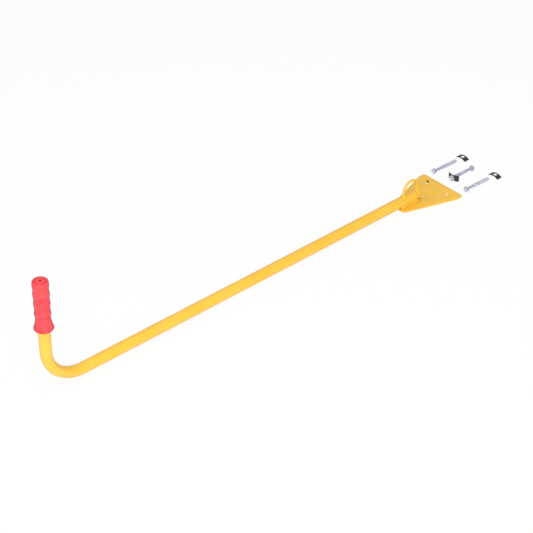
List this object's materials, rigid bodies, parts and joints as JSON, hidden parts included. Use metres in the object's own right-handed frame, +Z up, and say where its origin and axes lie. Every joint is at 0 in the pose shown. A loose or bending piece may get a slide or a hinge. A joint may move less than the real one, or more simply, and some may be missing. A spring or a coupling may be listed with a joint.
{
  "type": "bolt-on tube lever",
  "caption": "Bent round-tube lever with a ribbed grip, a welded mounting plate, a round-bar eye and a loose kit of bolts, saddle washers and a nut.",
  "frame": {"origin": "on the mounting plate's underside, midway between its two far bolt holes", "axes": "+Z up out of the plate, +X along the tube from the grip to the plate and on towards the fixing kit, +Y to the left seen from the grip"},
  "size_m": [1.301, 0.1376, 0.2784],
  "materials": {
    "yellow_coat": "semi-gloss powder coat",
    "red_grip": "soft moulded, satin",
    "zinc": "bright zinc plated",
    "black_steel": "satin black"
  },
  "bodies": {
    "lever": {"main_tube": "yellow_coat", "mounting_plate": "yellow_coat", "plate_weld_left": "yellow_coat", "plate_weld_right": "yellow_coat", "plate_weld_end": "yellow_coat", "eye_loop": "yellow_coat", "eye_weld_rear": "yellow_coat", "eye_weld_front": "yellow_coat", "grip": "red_grip"},
    "left_bolt": {"bolt_left": "zinc"},
    "middle_bolt": {"bolt_middle": "zinc"},
    "right_bolt": {"bolt_right": "zinc"},
    "left_washer": {"saddle_washer_left": "black_steel"},
    "middle_washer": {"saddle_washer_middle": "black_steel"},
    "right_washer": {"saddle_washer_right": "black_steel"},
    "nut": {"hex_nut": "zinc"}
  },
  "joints": [
    {"name": "left_bolt_lift", "type": "slide", "parent": "lever", "child": "left_bolt", "axis": [0, 0, 1], "range_m": [0, 0.1]},
    {"name": "middle_bolt_lift", "type": "slide", "parent": "lever", "child": "middle_bolt", "axis": [0, 0, 1], "range_m": [0, 0.1]},
    {"name": "right_bolt_lift", "type": "slide", "parent": "lever", "child": "right_bolt", "axis": [0, 0, 1], "range_m": [0, 0.1]},
    {"name": "left_washer_lift", "type": "slide", "parent": "lever", "child": "left_washer", "axis": [0, 0, 1], "range_m": [0, 0.1]},
    {"name": "right_washer_lift", "type": "slide", "parent": "lever", "child": "right_washer", "axis": [0, 0, 1], "range_m": [0, 0.1]},
    {"name": "middle_washer_travel", "type": "slide", "parent": "middle_bolt", "child": "middle_washer", "axis": [0.9998, 0, -0.0187], "range_m": [-0.006, 0.039]},
    {"name": "nut_spin", "type": "hinge", "parent": "middle_washer", "child": "nut", "pos_m": [0.1223, 0.002, 0.00662], "axis": [0.9998, 0, -0.0187], "range_deg": [-1440, 10800]}
  ],
  "couplings": [
    {"joint": "middle_washer_travel", "follows": "nut_spin", "m_per_rad": 0.00019894}
  ]
}
